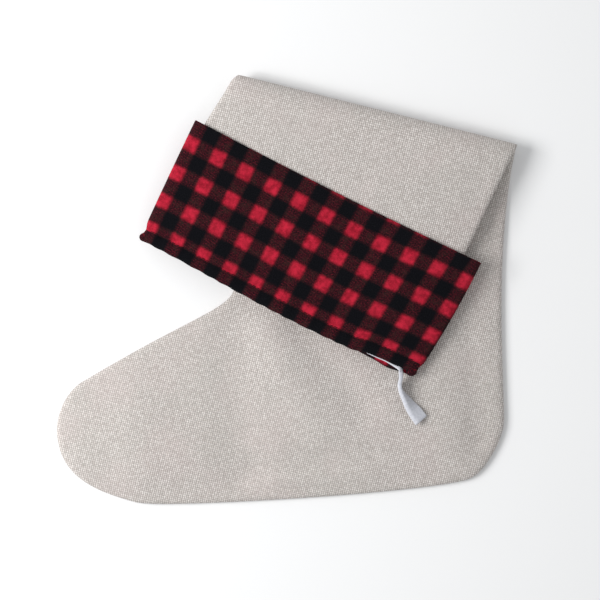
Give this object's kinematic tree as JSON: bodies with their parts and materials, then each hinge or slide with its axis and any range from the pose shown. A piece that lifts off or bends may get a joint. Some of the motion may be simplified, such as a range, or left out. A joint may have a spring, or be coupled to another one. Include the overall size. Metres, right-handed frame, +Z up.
{
  "type": "hanging stocking",
  "caption": "Flat linen stocking with a checked flannel cuff and a ribbon hanging loop, its leg folded down over the foot.",
  "frame": {"origin": "centre of the bounding box on the surface that the stocking lies on", "axes": "+Z up off the table, +X across the foot from the toe to the heel, +Y from the sole towards the folded top of the leg"},
  "size_m": [0.2996, 0.2788, 0.0233],
  "materials": {
    "linen": "natural plain-weave linen, matte",
    "linen_seam": "natural linen, raw cut edge, matte",
    "check_flannel": "brushed flannel in a red and black check, matte",
    "thread": "dark sewing thread",
    "ribbon": "white woven ribbon, slight sheen"
  },
  "bodies": {
    "foot": {"foot_back_panel": "linen", "foot_front_panel": "linen", "foot_side_seam": "linen_seam"},
    "folded_leg": {"leg_front_panel": "linen", "leg_back_panel": "linen", "leg_toe_side_seam": "linen_seam", "leg_heel_side_seam": "linen_seam", "cuff_back": "check_flannel", "cuff_front": "check_flannel", "cuff_toe_side_seam": "check_flannel", "cuff_heel_side_seam": "check_flannel", "mouth_topstitch_front": "thread", "mouth_topstitch_back": "thread", "loop_sewn_end": "ribbon", "loop_bar_tack": "thread"},
    "loop_tail": {"hanging_loop": "ribbon"}
  },
  "joints": [
    {"name": "leg_fold", "type": "hinge", "parent": "foot", "child": "folded_leg", "pos_m": [0.05915, 0.1171, 0.0117], "axis": [-0.9702, 0.2423, 0], "range_deg": [0, 179]},
    {"name": "loop_swing", "type": "hinge", "parent": "folded_leg", "child": "loop_tail", "pos_m": [0.07455, -0.05555, 0.0165], "axis": [0, 0, 1], "range_deg": [-60, 20]}
  ]
}
